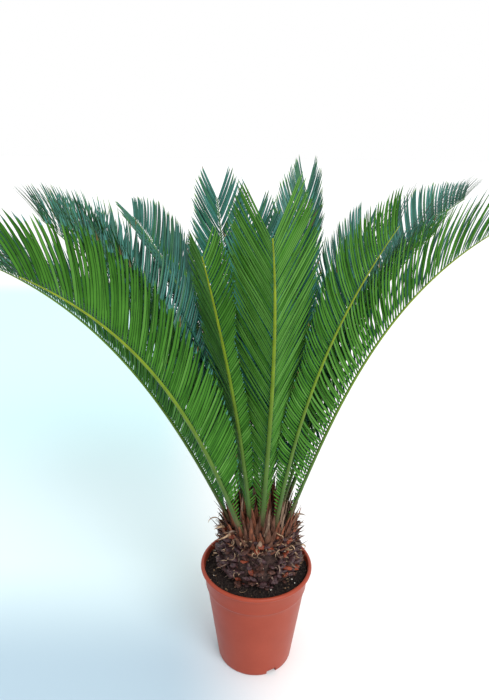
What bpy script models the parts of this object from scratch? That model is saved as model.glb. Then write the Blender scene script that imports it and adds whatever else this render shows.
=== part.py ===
"""Potted cycad: a scaly trunk with a vase-shaped crown of feather fronds, in a round nursery pot.

Metres, +Z up. The origin is the middle of the pot's flat underside, and -Y is the front.
"""

import math

import bmesh
import bpy
import numpy as np

# Pot
POT_HEIGHT = 0.166
RIM_RADIUS = 0.085
RIM_ROLL = 0.0035  # radius of the rolled lip's edge
COLLAR_DEPTH = 0.036  # stacking collar under the lip
COLLAR_RADIUS_TOP = 0.0815
COLLAR_RADIUS_LOW = 0.0775
STEP_WIDTH = 0.0025  # the wall steps in under the collar
BASE_RADIUS = 0.0578
WALL = 0.0018
FLOOR_THICKNESS = 0.003
NOTCH_WIDTH = 0.016
NOTCH_HEIGHT = 0.007
NOTCH_DEPTH = 0.010
NOTCH_AZIMUTHS = (296.0, 56.0, 176.0)
STEP_DROP = 0.001  # height of the step under the collar
FOOT_EDGE_HEIGHT = 0.004  # the wall turns in to the underside here
FOOT_EDGE_WIDTH = 0.0012
POT_STEPS = 48

# Soil and trunk
GAP = 0.0003
SOIL_TOP = 0.157
TRUNK_TOP = 0.244
TRUNK_FOOT_RADIUS = 0.047
TRUNK_BELLY_RADIUS = 0.0630
TRUNK_BELLY_HEIGHT = 0.176
TRUNK_NECK_RADIUS = 0.0535
TRUNK_NECK_HEIGHT = 0.222
TRUNK_SHOULDER_RADIUS = 0.0615
TRUNK_SHOULDER_HEIGHT = 0.198
TRUNK_TOP_RADIUS = 0.040
CROWN_RISE = 0.006  # the trunk's top swells by this much over its edge
CROWN_SHOULDER_RISE = 0.004
CROWN_SHOULDER_SHARE = 0.6
TOP_EDGE_DROP = 0.003
COLLAR_WALL = 0.004  # ring of woolly scale leaves round the stalks
COLLAR_RISE = 0.060
COLLAR_FLARE = 0.003

# Fronds: common sizes
BASE_HEIGHT = 0.240  # height at which the lengths below are counted from
SUNK_LENGTH = 0.030  # petiole run on below that height, cut off by the trunk
PETIOLE_SHARE = 0.14  # bare share of a frond's length
PETIOLE_HALF_WIDTH = 0.0042
RIB_DEPTH = 0.0045
RIB_THINNING = 0.6  # share of its depth that the rib loses towards the tip
RIB_TOP_SHARE = 0.7  # its upper side stands out less than its underside
STALK_DEPTH_SHARE = 1.5  # the bare stalk is deeper than the rib
STALK_EDGE_SHARE = 0.4
STALK_END_SHARE = 0.95  # the last stalk section, as a share of the bare stalk
BLADE_THICKNESS = 0.0016
EDGE_THINNING = 0.6  # thickness at the blade's edges, as a share
FOLD = 45.0  # how far each row of leaflets rises above the frond's face, degrees
BLADE_STATIONS = 10
SPLIT_SHARE = 0.52  # where an arching frond is split, as a share of its blade
SPLIT_BEND = 25.0  # fronds that turn more than this are split
CUT_GAP = 0.0004
LEAF_SPREAD_DROP = 8.0
ROLL_AT_FOOT = 0.3  # share of the roll that is there from the foot on
TRIM_FADE = 0.3  # a trimmed row grows back to its full length over this share of the blade
CURVE_STEPS = 40
RIB_FIRST = (0, 3)  # sides of a section that run from the rib out to an edge

# One row per frond. azimuth: 270 is the front. rise: angle above level at the foot. tip: the same
# at the tip. bend: how late it arches. foot: distance of the foot from the trunk's axis. sweep and
# roll: sideways turn and twist from foot to tip. leaf: longest leaflet. spread: leaflet angle to the
# rib at the foot and at the tip. last: the last leaflet, as a share of the longest. trim: share that
# the right and the left row are shortened to low down, and the share of the blade where that ends.
FRONDS = {
    "frond_01": dict(azimuth=281, rise=78, tip=52, bend=1.5, length=0.490, foot=0.030,
                     sweep=-20, roll=5, leaf=0.100, spread=(50, 34), last=0.62),
    "frond_02": dict(azimuth=236, rise=65, tip=29, bend=2.0, length=0.545, foot=0.041,
                     sweep=0, roll=20, leaf=0.105, spread=(46, 26), last=0.65,
                     trim=(0.75, 1.0, 0.75)),
    "frond_03": dict(azimuth=314, rise=80, tip=56, bend=1.5, length=0.485, foot=0.036,
                     sweep=0, roll=10, leaf=0.085, spread=(46, 26), last=0.55,
                     trim=(1.0, 0.45, 0.75)),
    "frond_04": dict(azimuth=249, rise=77, tip=68, bend=1.0, length=0.440, foot=0.026,
                     sweep=-10, roll=15, leaf=0.075, spread=(56, 34), last=0.45,
                     trim=(0.28, 1.0, 0.95)),
    "frond_05": dict(azimuth=178, rise=64, tip=15, bend=2.0, length=0.555, foot=0.041,
                     sweep=5, roll=5, leaf=0.100, spread=(54, 22), last=0.60),
    "frond_06": dict(azimuth=354, rise=72, tip=29, bend=2.5, length=0.535, foot=0.044,
                     sweep=-5, roll=-20, leaf=0.100, spread=(56, 26), last=0.60),
    "frond_07": dict(azimuth=164, rise=77, tip=37, bend=1.0, length=0.525, foot=0.035,
                     sweep=5, roll=5, leaf=0.120, spread=(58, 22), last=0.45),
    "frond_08": dict(azimuth=26, rise=68, tip=18, bend=2.5, length=0.585, foot=0.041,
                     sweep=10, roll=-15, leaf=0.100, spread=(56, 26), last=0.45),
    "frond_09": dict(azimuth=132, rise=82, tip=30, bend=1.0, length=0.525, foot=0.029,
                     sweep=0, roll=-15, leaf=0.090, spread=(34, 30), last=0.40),
    "frond_10": dict(azimuth=109, rise=69, tip=67, bend=1.5, length=0.490, foot=0.028,
                     sweep=0, roll=-10, leaf=0.100, spread=(54, 32), last=0.52),
    "frond_11": dict(azimuth=65, rise=70, tip=58, bend=1.5, length=0.515, foot=0.030,
                     sweep=15, roll=-10, leaf=0.105, spread=(48, 20), last=0.52),
    "frond_12": dict(azimuth=152, rise=69, tip=32, bend=1.5, length=0.535, foot=0.038,
                     sweep=5, roll=25, leaf=0.100, spread=(50, 44), last=0.55),
    "frond_13": dict(azimuth=13, rise=75, tip=38, bend=2.0, length=0.480, foot=0.032,
                     sweep=5, roll=-20, leaf=0.080, spread=(46, 18), last=0.55),
    "frond_14": dict(azimuth=48, rise=64, tip=62, bend=1.0, length=0.450, foot=0.037,
                     sweep=0, roll=5, leaf=0.095, spread=(54, 20), last=0.55),
    "frond_15": dict(azimuth=92, rise=74, tip=64, bend=1.0, length=0.445, foot=0.024,
                     sweep=5, roll=0, leaf=0.105, spread=(56, 28), last=0.55),
    "frond_16": dict(azimuth=80, rise=62, tip=22, bend=1.5, length=0.480, foot=0.044,
                     sweep=0, roll=0, leaf=0.095, spread=(54, 24), last=0.55),
    "frond_17": dict(azimuth=118, rise=63, tip=24, bend=1.5, length=0.490, foot=0.044,
                     sweep=0, roll=0, leaf=0.095, spread=(54, 24), last=0.55),
}

# Leaflet length along the blade: (share of the blade, share of the longest), up to the last one
LEAF_PROFILE = ((0.0, 0.30), (0.05, 0.45), (0.15, 0.72), (0.30, 0.92), (0.50, 1.0), (0.70, 0.97))
LAST_TURN = 0.85
LAST_TURN_BLEND = 0.65  # how much of the longest leaflet is left there, over the last one's share
SPREAD_TURN = (0.5, 0.85)  # the leaflets' angle falls from its foot value to its tip value here


def clear_scene():
    for obj in list(bpy.data.objects):
        bpy.data.objects.remove(obj, do_unlink=True)


def new_collection(name):
    collection = bpy.data.collections.new(name)
    bpy.context.scene.collection.children.link(collection)
    return collection


def principled(name, colour, roughness):
    material = bpy.data.materials.new(name)
    material.use_nodes = True
    shader = material.node_tree.nodes["Principled BSDF"]
    shader.inputs["Base Color"].default_value = (*colour, 1.0)
    shader.inputs["Roughness"].default_value = roughness
    shader.inputs["Metallic"].default_value = 0.0
    return material


def add_object(name, mesh, collection, material=None):
    obj = bpy.data.objects.new(name, mesh)
    collection.objects.link(obj)
    if material:
        mesh.materials.append(material)
    return obj


def add_cutter(name, mesh, collection):
    obj = add_object(name, mesh, collection)
    obj.hide_render = True
    obj.display_type = "WIRE"
    return obj


def turned(name, profile, collection, material=None, steps=32, ring=False):
    """A solid of revolution from (radius, height) pairs down its outer side; a ring's are a loop."""
    mesh = bpy.data.meshes.new(name)
    bm = bmesh.new()
    verts = [bm.verts.new((radius, 0.0, height)) for radius, height in profile]
    for first, second in zip(verts, verts[1:]):
        bm.edges.new((first, second))
    if ring:
        bm.edges.new((verts[-1], verts[0]))
    bm.to_mesh(mesh)
    bm.free()
    obj = add_object(name, mesh, collection, material)
    screw = obj.modifiers.new("Turn", "SCREW")
    screw.steps = steps
    screw.render_steps = steps
    screw.use_merge_vertices = True
    screw.merge_threshold = 0.00005
    screw.use_smooth_shade = True
    return obj


def wall_radius(height):
    """Outer radius of the pot's wall under its collar."""
    top = POT_HEIGHT - COLLAR_DEPTH
    top_radius = COLLAR_RADIUS_LOW - STEP_WIDTH
    return BASE_RADIUS + (top_radius - BASE_RADIUS) * height / top


def inner_radius(height):
    """Inner radius of the pot at a height."""
    collar_low = POT_HEIGHT - COLLAR_DEPTH
    if height < collar_low:
        return wall_radius(height) - WALL
    share = (height - collar_low) / COLLAR_DEPTH
    low = wall_radius(collar_low) - WALL
    return low + (COLLAR_RADIUS_TOP - WALL - low) * share


def pot_profile():
    collar_low = POT_HEIGHT - COLLAR_DEPTH
    lip_low = POT_HEIGHT - 2.0 * RIM_ROLL
    points = [(inner_radius(POT_HEIGHT - RIM_ROLL), POT_HEIGHT - RIM_ROLL)]
    for turn in range(5):
        angle = math.radians(90.0 - 45.0 * turn)
        centre = RIM_RADIUS - RIM_ROLL
        points.append((centre + RIM_ROLL * math.cos(angle),
                       POT_HEIGHT - RIM_ROLL + RIM_ROLL * math.sin(angle)))
    points += [
        (COLLAR_RADIUS_TOP, lip_low),
        (COLLAR_RADIUS_LOW, collar_low),
        (wall_radius(collar_low), collar_low - STEP_DROP),
        (wall_radius(FOOT_EDGE_HEIGHT), FOOT_EDGE_HEIGHT),
        (BASE_RADIUS - FOOT_EDGE_WIDTH, 0.0),
        (0.0, 0.0),
    ]
    inside = [(0.0, FLOOR_THICKNESS), (inner_radius(FLOOR_THICKNESS), FLOOR_THICKNESS),
              (inner_radius(collar_low), collar_low)]
    return points, inside


def make_pot(collection, cutters, material):
    outside, inside = pot_profile()
    rim_inside = outside[0]
    profile = outside[1:] + inside + [rim_inside, outside[1]]
    pot = turned("pot", profile, collection, material, steps=POT_STEPS)
    for index, azimuth in enumerate(NOTCH_AZIMUTHS):
        angle = math.radians(azimuth)
        bpy.ops.mesh.primitive_cube_add(size=1.0)
        cutter = bpy.context.object
        cutter.name = f"notch_cutter_{index + 1}"
        for old in list(cutter.users_collection):
            old.objects.unlink(cutter)
        cutters.objects.link(cutter)
        cutter.scale = (NOTCH_DEPTH, NOTCH_WIDTH, 2.0 * NOTCH_HEIGHT)
        cutter.location = (BASE_RADIUS * math.cos(angle), BASE_RADIUS * math.sin(angle), 0.0)
        cutter.rotation_euler = (0.0, 0.0, angle)
        cutter.hide_render = True
        cutter.display_type = "WIRE"
        cut = pot.modifiers.new(f"Notch {index + 1}", "BOOLEAN")
        cut.operation = "DIFFERENCE"
        cut.object = cutter
    return pot


def make_soil(collection, material):
    """Soil that fills the pot, clear of its wall and floor by the gap."""
    collar_low = POT_HEIGHT - COLLAR_DEPTH
    foot = FLOOR_THICKNESS + GAP
    low = max(foot, NOTCH_HEIGHT + GAP)
    profile = [
        (0.0, SOIL_TOP),
        (inner_radius(SOIL_TOP) - GAP, SOIL_TOP),
        (inner_radius(collar_low) - GAP, collar_low),
        (inner_radius(low) - GAP, low),
        (BASE_RADIUS - NOTCH_DEPTH, foot),
        (0.0, foot),
    ]
    return turned("soil", profile, collection, material)


def trunk_profile(grow=0.0):
    """Outer side of the trunk from its top to its flat foot. grow widens it for a cutter."""
    return [
        (0.0, TRUNK_TOP + CROWN_RISE + grow),
        (CROWN_SHOULDER_SHARE * TRUNK_TOP_RADIUS, TRUNK_TOP + CROWN_SHOULDER_RISE + grow),
        (TRUNK_TOP_RADIUS + grow, TRUNK_TOP - TOP_EDGE_DROP + grow),
        (0.5 * (TRUNK_TOP_RADIUS + TRUNK_NECK_RADIUS) + grow, 0.5 * (TRUNK_TOP + TRUNK_NECK_HEIGHT)),
        (TRUNK_NECK_RADIUS + grow, TRUNK_NECK_HEIGHT),
        (TRUNK_SHOULDER_RADIUS + grow, TRUNK_SHOULDER_HEIGHT),
        (TRUNK_BELLY_RADIUS + grow, TRUNK_BELLY_HEIGHT),
        (TRUNK_FOOT_RADIUS + grow, SOIL_TOP + GAP - grow),
        (0.0, SOIL_TOP + GAP - grow),
    ]


def make_trunk(collection, material):
    return turned("trunk", trunk_profile(), collection, material)


def make_scale_collar(collection, material):
    """Upright ring of scale leaves that sits on the trunk's shoulder, round the stalks."""
    seat = trunk_profile(GAP)
    top, upper, lower = seat[2], seat[3], seat[4]
    outer = lower[0] + COLLAR_WALL
    rim = TRUNK_NECK_HEIGHT + COLLAR_RISE
    profile = [
        (outer - COLLAR_FLARE - COLLAR_WALL, rim),
        (outer - COLLAR_FLARE, rim),
        (outer, TRUNK_NECK_HEIGHT + 0.5 * COLLAR_RISE),
        (outer, lower[1]),
        lower,
        upper,
        top,
        (top[0] + COLLAR_WALL, top[1] + COLLAR_WALL),
    ]
    return turned("scale_leaf_collar", profile, collection, material, ring=True)


def frond_curve(spec, share):
    """Point, along, side and up directions of a frond's rib at a share of its length."""
    azimuth = math.radians(spec["azimuth"])
    point = np.array([spec["foot"] * math.cos(azimuth), spec["foot"] * math.sin(azimuth), BASE_HEIGHT])

    def along(at):
        clamped = max(at, 0.0)
        rise = math.radians(spec["rise"] + (spec["tip"] - spec["rise"]) * clamped ** spec["bend"])
        turn = math.radians(spec["azimuth"] + spec["sweep"] * clamped)
        return rise, turn, np.array([math.cos(rise) * math.cos(turn), math.cos(rise) * math.sin(turn),
                                     math.sin(rise)])

    for step in range(CURVE_STEPS):
        middle = share * (step + 0.5) / CURVE_STEPS
        point = point + along(middle)[2] * spec["length"] * share / CURVE_STEPS
    rise, turn, direction = along(share)
    side = np.array([-math.sin(turn), math.cos(turn), 0.0])
    up = np.array([-math.sin(rise) * math.cos(turn), -math.sin(rise) * math.sin(turn), math.cos(rise)])
    roll = math.radians(spec["roll"] * (ROLL_AT_FOOT + (1.0 - ROLL_AT_FOOT) * max(share, 0.0)))
    rolled_side = side * math.cos(roll) + up * math.sin(roll)
    rolled_up = up * math.cos(roll) - side * math.sin(roll)
    return point, direction, rolled_side, rolled_up


def leaf_reach(spec, blade_share, hand):
    """Length and angle to the rib of one row's leaflet at a share of the blade."""
    at_turn = spec["last"] + LAST_TURN_BLEND * (LEAF_PROFILE[-1][1] - spec["last"])
    shares, lengths = zip(*LEAF_PROFILE, (LAST_TURN, at_turn), (1.0, spec["last"]))
    right, left, trim_end = spec.get("trim", (1.0, 1.0, 1.0))
    shorter = np.interp(blade_share, (trim_end - TRIM_FADE, trim_end),
                        (right if hand > 0.0 else left, 1.0))
    length = spec["leaf"] * shorter * np.interp(blade_share, shares, lengths)
    start, end = spec["spread"]
    turn_from, turn_to = SPREAD_TURN
    spread = np.interp(blade_share, (0.0, turn_from, turn_to, 1.0),
                       (start, start - LEAF_SPREAD_DROP, end + LEAF_SPREAD_DROP, end))
    return length, math.radians(spread)


def blade_section(spec, blade_share, grow):
    """Six points round the folded blade at a station: rib foot, one edge, rib top, other edge."""
    share = PETIOLE_SHARE + (1.0 - PETIOLE_SHARE) * blade_share
    point, along, side, up = frond_curve(spec, share)
    fold = math.radians(FOLD)
    half = 0.5 * BLADE_THICKNESS + grow
    deep = 0.5 * RIB_DEPTH * (1.0 - RIB_THINNING * blade_share) + grow
    corners = []
    for hand in (1.0, -1.0):
        length, spread = leaf_reach(spec, blade_share, hand)
        outward = math.cos(fold) * side * hand + math.sin(fold) * up
        out = math.cos(spread) * along + math.sin(spread) * outward
        face = math.cos(fold) * up - math.sin(fold) * side * hand
        edge = point + out * (length + grow)
        corners.append((edge - face * half * EDGE_THINNING, edge + face * half * EDGE_THINNING))
    (left_low, left_high), (right_low, right_high) = corners
    rib_top = point + up * deep * RIB_TOP_SHARE
    return [point - up * deep, left_low, left_high, rib_top, right_high, right_low]


def petiole_section(spec, share, grow):
    """Six points round the bare stalk at a share of the frond's length."""
    point, _, side, up = frond_curve(spec, share)
    across = side * (PETIOLE_HALF_WIDTH + grow)
    deep = up * (0.5 * RIB_DEPTH * STALK_DEPTH_SHARE + grow)
    edge = deep * STALK_EDGE_SHARE
    return [point - deep, point + across - edge, point + across + edge,
            point + deep * RIB_TOP_SHARE, point - across + edge, point - across - edge]


def loft(name, sections):
    """A closed mesh through rings of equal count, with its ends capped."""
    mesh = bpy.data.meshes.new(name)
    bm = bmesh.new()
    rings = [[bm.verts.new(point) for point in section] for section in sections]
    for ring, following in zip(rings, rings[1:]):
        for index in range(len(ring)):
            after = (index + 1) % len(ring)
            # both faces of a row are split the same way, from its edge on to the rib
            if index in RIB_FIRST:
                bm.faces.new((ring[index], ring[after], following[index]))
                bm.faces.new((ring[after], following[after], following[index]))
            else:
                bm.faces.new((ring[index], ring[after], following[after]))
                bm.faces.new((ring[index], following[after], following[index]))
    for ring in (rings[0], rings[-1]):
        low, left_low, left_high, high, right_high, right_low = ring
        bm.faces.new((low, left_low, left_high))
        bm.faces.new((low, left_high, high))
        bm.faces.new((low, high, right_high))
        bm.faces.new((low, right_high, right_low))
    bmesh.ops.recalc_face_normals(bm, faces=bm.faces)
    if bm.calc_volume(signed=True) < 0.0:
        bmesh.ops.reverse_faces(bm, faces=bm.faces)
    bm.to_mesh(mesh)
    bm.free()
    return mesh


def stalk_sections(spec, grow):
    """Sections of the bare stalk, from inside the trunk to the first leaflets."""
    shares = (-SUNK_LENGTH / spec["length"], 0.0, 0.5 * PETIOLE_SHARE,
              STALK_END_SHARE * PETIOLE_SHARE)
    return [petiole_section(spec, share, grow) for share in shares]


def frond_sections(spec, first, last, grow):
    """Sections of a frond's blade from one share to another, with the stalk if it starts at 0."""
    count = max(3, round(BLADE_STATIONS * (last - first)) + 1)
    sections = stalk_sections(spec, grow) if first == 0.0 else []
    for blade_share in np.linspace(first, last, count):
        sections.append(blade_section(spec, blade_share, grow))
    return sections


def frond_parts(name, spec):
    """Names and blade ranges of a frond's solids: two where it arches round a gap."""
    if abs(spec["rise"] - spec["tip"]) <= SPLIT_BEND:
        return [(name, 0.0, 1.0)]
    half_gap = CUT_GAP / spec["length"]
    return [(f"{name}_lower", 0.0, SPLIT_SHARE - half_gap), (f"{name}_upper", SPLIT_SHARE + half_gap, 1.0)]


def apply_difference(obj, cutter):
    """Cuts one object with another and keeps the result, modifiers and all, as its mesh."""
    cut = obj.modifiers.new("Clearance", "BOOLEAN")
    cut.operation = "DIFFERENCE"
    cut.object = cutter
    depsgraph = bpy.context.evaluated_depsgraph_get()
    result = bpy.data.meshes.new_from_object(obj.evaluated_get(depsgraph))
    obj.modifiers.clear()
    old = obj.data
    obj.data = result
    bpy.data.meshes.remove(old)


def keep_largest(obj):
    """Drops every loose piece of a mesh but the one with the most surface."""
    bm = bmesh.new()
    bm.from_mesh(obj.data)
    bmesh.ops.remove_doubles(bm, verts=bm.verts, dist=0.00002)
    unseen = set(bm.faces)
    islands = []
    while unseen:
        stack = [unseen.pop()]
        island = [stack[0]]
        while stack:
            face = stack.pop()
            for edge in face.edges:
                for near in edge.link_faces:
                    if near in unseen:
                        unseen.remove(near)
                        stack.append(near)
                        island.append(near)
        islands.append(island)
    if len(islands) > 1:
        islands.sort(key=lambda faces: sum(face.calc_area() for face in faces), reverse=True)
        spare = [face for island in islands[1:] for face in island]
        bmesh.ops.delete(bm, geom=spare, context="FACES")
        loose = [vert for vert in bm.verts if not vert.link_faces]
        bmesh.ops.delete(bm, geom=loose, context="VERTS")
    bm.to_mesh(obj.data)
    bm.free()


def boxes_meet(first, second, margin=GAP):
    low_a, high_a = first
    low_b, high_b = second
    return all(low_a[i] - margin < high_b[i] and low_b[i] - margin < high_a[i] for i in range(3))


def mesh_box(obj):
    points = np.array([tuple(vert.co) for vert in obj.data.vertices])
    return points.min(axis=0), points.max(axis=0)


def make_fronds(collection, cutters, material, trunk_cutter):
    """Fronds in the order of the table; each is cut clear of the trunk and of those before it."""
    made = []
    for name, spec in FRONDS.items():
        for part, first, last in frond_parts(name, spec):
            obj = add_object(part, loft(part, frond_sections(spec, first, last, 0.0)), collection, material)
            if first == 0.0:
                apply_difference(obj, trunk_cutter)
            own_box = mesh_box(obj)
            for other_cutter, other_box in made:
                if boxes_meet(own_box, other_box):
                    apply_difference(obj, other_cutter)
            keep_largest(obj)
            obj.data.shade_smooth()
        sections = [section for _, first, last in frond_parts(name, spec)
                    for section in frond_sections(spec, first, last, GAP)]
        _, along, _, _ = frond_curve(spec, 1.0)
        sections.append([point + along * GAP for point in sections[-1]])
        cutter = add_cutter(f"{name}_clearance", loft(f"{name}_clearance", sections), cutters)
        made.append((cutter, mesh_box(cutter)))


def cut_stalk_slots(collar, cutters):
    """Slots in the collar for the stalks that pass through it."""
    for name, spec in FRONDS.items():
        slot = add_cutter(f"{name}_slot", loft(f"{name}_slot", stalk_sections(spec, GAP)), cutters)
        apply_difference(collar, slot)
    keep_largest(collar)


def main():
    clear_scene()
    parts = new_collection("potted_cycad")
    cutters = new_collection("cutters")
    clay = principled("pot_plastic", (0.42, 0.10, 0.045), 0.45)
    earth = principled("soil", (0.020, 0.015, 0.012), 0.95)
    scales = principled("trunk_scales", (0.16, 0.07, 0.035), 0.85)
    wool = principled("scale_leaves", (0.30, 0.19, 0.10), 0.9)
    green = principled("frond_green", (0.06, 0.19, 0.035), 0.5)
    make_pot(parts, cutters, clay)
    make_soil(parts, earth)
    make_trunk(parts, scales)
    trunk_cutter = turned("trunk_cutter", trunk_profile(GAP), cutters)
    trunk_cutter.hide_render = True
    trunk_cutter.display_type = "WIRE"
    make_fronds(parts, cutters, green, trunk_cutter)
    cut_stalk_slots(make_scale_collar(parts, wool), cutters)


main()
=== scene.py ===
import math
import random

import bmesh
import bpy
import numpy as np
from mathutils import Matrix, Vector, noise


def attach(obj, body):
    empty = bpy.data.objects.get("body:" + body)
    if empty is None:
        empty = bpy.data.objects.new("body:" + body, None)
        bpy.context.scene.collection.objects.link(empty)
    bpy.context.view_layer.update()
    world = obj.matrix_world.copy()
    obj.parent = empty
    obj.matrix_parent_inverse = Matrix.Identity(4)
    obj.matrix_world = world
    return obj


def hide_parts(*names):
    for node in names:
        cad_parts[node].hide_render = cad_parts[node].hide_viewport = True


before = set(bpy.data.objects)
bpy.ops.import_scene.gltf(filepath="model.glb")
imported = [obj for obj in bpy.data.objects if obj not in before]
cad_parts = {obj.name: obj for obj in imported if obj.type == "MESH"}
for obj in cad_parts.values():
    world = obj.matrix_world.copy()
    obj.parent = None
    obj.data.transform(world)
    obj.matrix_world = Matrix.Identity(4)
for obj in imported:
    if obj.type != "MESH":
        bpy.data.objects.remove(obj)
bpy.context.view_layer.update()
print("frame loaded")


def linkObject(name, data):
    obj = bpy.data.objects.new(name, data)
    bpy.context.scene.collection.objects.link(obj)
    return obj


def makeMesh(name, points, faces, materials, faceKinds=None, edgePoints=None):
    mesh = bpy.data.meshes.new(name)
    mesh.from_pydata([tuple(p) for p in points], [], faces)
    for material in materials:
        mesh.materials.append(material)
    if faceKinds is not None:
        mesh.polygons.foreach_set("material_index", np.asarray(faceKinds, np.int32))
    mesh.shade_smooth()
    if edgePoints is not None:  # keeps the crease along a thin blade's margins
        ends = np.empty(len(mesh.edges) * 2, np.int32)
        mesh.edges.foreach_get("vertices", ends)
        crease = np.asarray(edgePoints, bool)[ends.reshape(-1, 2)].all(axis=1)
        mesh.attributes.new("sharp_edge", "BOOLEAN", "EDGE").data.foreach_set("value", crease)
    mesh.update()
    return linkObject(name, mesh)


def placePiece(obj, slotName, *nodes):
    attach(obj, "root")
    if nodes:
        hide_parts(*nodes)
    return obj


def newBunch():
    return {"points": [], "faces": [], "kinds": [], "edges": []}


def addShape(bunch, shape, kinds):
    # A shape is its points and faces, and, where its margins are sharp, which points lie on them
    points, faces, *margins = shape
    base = len(bunch["points"])
    bunch["points"].extend(points)
    bunch["faces"].extend([tuple(base + i for i in face) for face in faces])
    bunch["kinds"].extend(kinds if isinstance(kinds, list) else [kinds] * len(faces))
    bunch["edges"].extend(margins[0] if margins else [False] * len(points))


def shiftBunch(bunch, offset):
    bunch["points"] = [(x + offset, y, z) for x, y, z in bunch["points"]]


def bunchPiece(name, bunch, materials):
    return makeMesh(name, bunch["points"], bunch["faces"], materials, bunch["kinds"], bunch["edges"])


def radial(azimuth):
    return Vector((math.cos(azimuth), math.sin(azimuth), 0.0))


def sideways(out):
    return Vector((-out.y, out.x, 0.0))


def ringFaces(rings, around):
    faces = []
    for ring in range(rings - 1):
        for step in range(around):
            after = (step + 1) % around
            low = ring * around
            faces.append((low + step, low + after, low + around + after, low + around + step))
    faces.append(tuple(reversed(range(around))))  # both ends are closed
    faces.append(tuple(range((rings - 1) * around, rings * around)))
    return faces


def newMaterial(name, colour, roughness, shine=0.3):
    material = bpy.data.materials.new(name)
    material.use_nodes = True
    nodes = material.node_tree.nodes
    shader = nodes["Principled BSDF"]
    shader.inputs["Base Color"].default_value = (*colour, 1.0)
    shader.inputs["Roughness"].default_value = roughness
    shader.inputs["Specular IOR Level"].default_value = shine
    return material, nodes, material.node_tree.links, shader


def addNoise(nodes, links, scale, detail, stretch=(1.0, 1.0, 1.0), roughness=0.55):
    place = nodes.new("ShaderNodeTexCoord")
    mapping = nodes.new("ShaderNodeMapping")
    mapping.inputs["Scale"].default_value = stretch
    texture = nodes.new("ShaderNodeTexNoise")
    texture.inputs["Scale"].default_value = scale
    texture.inputs["Detail"].default_value = detail
    texture.inputs["Roughness"].default_value = roughness
    links.new(place.outputs["Object"], mapping.inputs["Vector"])
    links.new(mapping.outputs["Vector"], texture.inputs["Vector"])
    return texture.outputs["Fac"]


def addRamp(nodes, links, source, stops):
    ramp = nodes.new("ShaderNodeValToRGB")
    points = ramp.color_ramp.elements
    while len(points) < len(stops):
        points.new(0.5)
    for point, (place, colour) in zip(points, stops):
        point.position = place
        point.color = (*colour, 1.0)
    links.new(source, ramp.inputs["Fac"])
    return ramp.outputs["Color"]


def addBump(nodes, links, shader, height, strength, distance):
    bump = nodes.new("ShaderNodeBump")
    bump.inputs["Strength"].default_value = strength
    bump.inputs["Distance"].default_value = distance
    links.new(height, bump.inputs["Height"])
    links.new(bump.outputs["Normal"], shader.inputs["Normal"])


def addPlace(nodes, links):
    place = nodes.new("ShaderNodeTexCoord")
    split = nodes.new("ShaderNodeSeparateXYZ")
    links.new(place.outputs["Object"], split.inputs["Vector"])
    return split.outputs


def addSpread(nodes, links, source, fromRange, toRange=(0.0, 1.0), kind="LINEAR"):
    spread = nodes.new("ShaderNodeMapRange")
    spread.interpolation_type = kind
    for socket, value in zip(("From Min", "From Max", "To Min", "To Max"), (*fromRange, *toRange)):
        spread.inputs[socket].default_value = value
    links.new(source, spread.inputs["Value"])
    return spread.outputs["Result"]


def addMath(nodes, links, kind, *values):
    maths = nodes.new("ShaderNodeMath")
    maths.operation = kind
    for index, value in enumerate(values):
        if isinstance(value, float):
            maths.inputs[index].default_value = value
        else:
            links.new(value, maths.inputs[index])
    return maths.outputs["Value"]


def addBlend(nodes, links, factor, first, second, kind="MIX"):
    blend = nodes.new("ShaderNodeMix")
    blend.data_type = "RGBA"
    blend.blend_type = kind
    for socket, value in (("Factor", factor), ("A", first), ("B", second)):
        if isinstance(value, float):
            blend.inputs[socket].default_value = value
        elif isinstance(value, tuple):
            blend.inputs[socket].default_value = (*value, 1.0)
        else:
            links.new(value, blend.inputs[socket])
    return blend.outputs["Result"]


def speckledMaterial(name, dark, light, scale, roughness, bump, depth=0.0006, stretch=(1, 1, 1),
                     shine=0.3):
    material, nodes, links, shader = newMaterial(name, light, roughness, shine)
    grain = addNoise(nodes, links, scale, 4.0, stretch)
    links.new(addRamp(nodes, links, grain, [(0.35, dark), (0.65, light)]), shader.inputs["Base Color"])
    addBump(nodes, links, shader, addNoise(nodes, links, scale * 3.0, 3.0, stretch), bump, depth)
    return material


# A finish: dark and light tone, scale of the grain, roughness, bump, its depth, stretch and shine
def speckledMaterials(finishes):
    return [speckledMaterial(name, *finish) for name, finish in finishes.items()]


cameraView = {
    "place": (-0.022, -0.774, 0.766),
    "lens": 30.86,
    "sensor": 36.0,
    "lookDown": 18.41,
    "roll": 0.70,
}


def makeCamera(view):
    data = bpy.data.cameras.new("camera")
    data.lens = view["lens"]
    data.sensor_width = view["sensor"]
    data.clip_start = 0.01
    data.clip_end = 50.0
    camera = linkObject("camera", data)
    tilt = Matrix.Rotation(math.radians(90.0 - view["lookDown"]), 4, "X")
    roll = Matrix.Rotation(math.radians(view["roll"]), 4, "Z")
    camera.matrix_world = Matrix.Translation(view["place"]) @ tilt @ roll
    bpy.context.scene.camera = camera


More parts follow.
